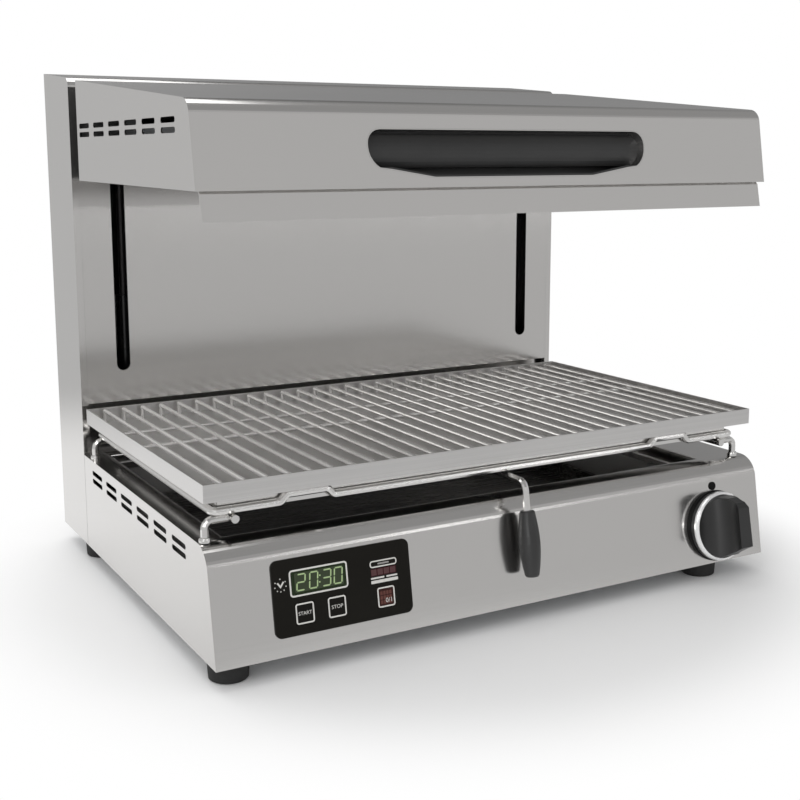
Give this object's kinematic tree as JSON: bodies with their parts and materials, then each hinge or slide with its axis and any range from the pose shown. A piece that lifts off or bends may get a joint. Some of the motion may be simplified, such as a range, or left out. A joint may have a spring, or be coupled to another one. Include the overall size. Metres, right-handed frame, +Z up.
{
  "type": "cheese melter",
  "caption": "Counter-top rise-and-fall grill: stainless base with drip tray, bar rack on a wire stand, rear column and heated head that slides up and down",
  "frame": {"origin": "centre of the whole object's footprint, on the worktop under the rubber feet", "axes": "+X right as seen from the front, +Y from the front panel to the rear wall, +Z up; head at the top of its travel"},
  "size_m": [0.6, 0.5102, 0.5111],
  "materials": {
    "panel_steel": "fine brushed stainless steel",
    "bright_steel": "bright stainless steel",
    "zinc_steel": "dull zinc-plated steel",
    "rubber": "matt",
    "black_plastic": "fine satin, heat-resistant",
    "overlay_black": "satin printed film",
    "display_green": "smooth window",
    "display_red": "smooth window",
    "key_black": "satin",
    "key_red": "satin",
    "board": "lacquered board",
    "ceramic": "glazed ceramic",
    "tray_enamel": "dark stainless pan in shade",
    "black_paint": "semi-gloss",
    "bush_brass": "plain",
    "fibre": "matt mineral wool board",
    "element_sheath": "oxidised"
  },
  "bodies": {
    "base": {"front_deck": "panel_steel", "side_panel_left": "panel_steel", "side_panel_right": "panel_steel", "base_floor": "zinc_steel", "well_liner": "panel_steel", "foot_front_left": "rubber", "foot_front_right": "rubber", "foot_rear_left": "rubber", "foot_rear_right": "rubber", "foot_screws": "zinc_steel", "control_overlay": "overlay_black", "time_display": "display_green", "power_display": "display_red", "control_board": "board", "knob_bezel": "black_plastic", "heat_regulator": "ceramic", "indicator_lamp": "black_plastic", "support_loop": "bright_steel", "support_rails": "bright_steel", "rack_runners": "bright_steel", "support_legs": "bright_steel", "leg_ferrules": "zinc_steel", "column_shell": "panel_steel", "back_panel": "panel_steel", "lower_back_panel": "panel_steel", "column_top": "panel_steel", "guide_rods": "bright_steel", "guide_rod_clamps": "zinc_steel", "gas_spring_cylinders": "black_paint", "terminal_block": "ceramic", "cable_gland": "black_plastic"},
    "head": {"gas_spring_rods": "bright_steel", "carriages": "zinc_steel", "carriage_bushes": "bush_brass", "lift_arms": "zinc_steel", "head_shell": "panel_steel", "head_side_left": "panel_steel", "head_side_right": "panel_steel", "head_back": "panel_steel", "head_base_plate": "panel_steel", "head_apron": "panel_steel", "head_bearers": "zinc_steel", "head_handle": "black_plastic", "handle_surround": "panel_steel", "reflector": "bright_steel", "insulation": "fibre", "heating_elements": "element_sheath", "element_hangers": "bright_steel", "element_terminals": "ceramic"},
    "rack": {"rack_pan": "bright_steel", "rack_bars": "bright_steel", "rack_handle_rod": "bright_steel", "rack_grip": "black_plastic"},
    "tray": {"drip_tray": "tray_enamel"},
    "dial": {"knob": "black_plastic", "knob_trim_ring": "bright_steel"},
    "start": {"start_key": "key_black"},
    "stop": {"stop_key": "key_black"},
    "power": {"power_key": "key_red"}
  },
  "joints": [
    {"name": "head_lift", "type": "slide", "parent": "base", "child": "head", "axis": [0, 0, 1], "range_m": [-0.185, 0]},
    {"name": "rack_slide", "type": "slide", "parent": "base", "child": "rack", "axis": [0, -1, 0], "range_m": [0, 0.16]},
    {"name": "tray_lift", "type": "slide", "parent": "base", "child": "tray", "axis": [0, 0, 1], "range_m": [0, 0.06]},
    {"name": "heat_turn", "type": "hinge", "parent": "base", "child": "dial", "pos_m": [0.2395, -0.20971, 0.05499], "axis": [0, -0.9863, 0.165], "range_deg": [-300, 0]},
    {"name": "start_push", "type": "slide", "parent": "base", "child": "start", "axis": [0, 0.9863, -0.165], "range_m": [0, 0.0006], "stiffness_N_per_m": 1500, "springref_m": -0.0002},
    {"name": "stop_push", "type": "slide", "parent": "base", "child": "stop", "axis": [0, 0.9863, -0.165], "range_m": [0, 0.0006], "stiffness_N_per_m": 1500, "springref_m": -0.0002},
    {"name": "power_push", "type": "slide", "parent": "base", "child": "power", "axis": [0, 0.9863, -0.165], "range_m": [0, 0.0006], "stiffness_N_per_m": 1500, "springref_m": -0.0002}
  ]
}
